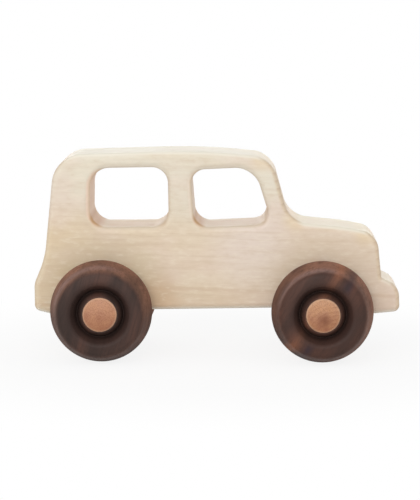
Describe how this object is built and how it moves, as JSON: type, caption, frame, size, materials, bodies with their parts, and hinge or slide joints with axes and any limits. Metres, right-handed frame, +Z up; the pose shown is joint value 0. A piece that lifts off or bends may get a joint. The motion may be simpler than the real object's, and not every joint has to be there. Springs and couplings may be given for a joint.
{
  "type": "wooden toy car",
  "caption": "Rolling wooden toy car: a plank body with rounded edges and through windows, on dowel axles with turned wheels.",
  "frame": {"origin": "on the ground, under the middle of the car's box", "axes": "+X to the front of the car, +Y to its left side, +Z up"},
  "size_m": [0.1712, 0.0816, 0.0973],
  "materials": {
    "body_wood": "sanded pale maple with a thin oil, satin",
    "wheel_wood": "turned and oiled dark walnut, satin",
    "axle_wood": "oiled reddish cherry dowel with sanded end grain"
  },
  "bodies": {
    "body": {"body": "body_wood"},
    "rear_wheelset": {"rear_axle": "axle_wood", "rear_right_wheel": "wheel_wood", "rear_left_wheel": "wheel_wood"},
    "front_wheelset": {"front_axle": "axle_wood", "front_right_wheel": "wheel_wood", "front_left_wheel": "wheel_wood"}
  },
  "joints": [
    {"name": "rear_axle_spin", "type": "hinge", "parent": "body", "child": "rear_wheelset", "pos_m": [-0.0536, 0, 0.02373], "axis": [0, 1, 0], "continuous": true},
    {"name": "front_axle_spin", "type": "hinge", "parent": "body", "child": "front_wheelset", "pos_m": [0.0491, 0, 0.02373], "axis": [0, 1, 0], "continuous": true}
  ]
}
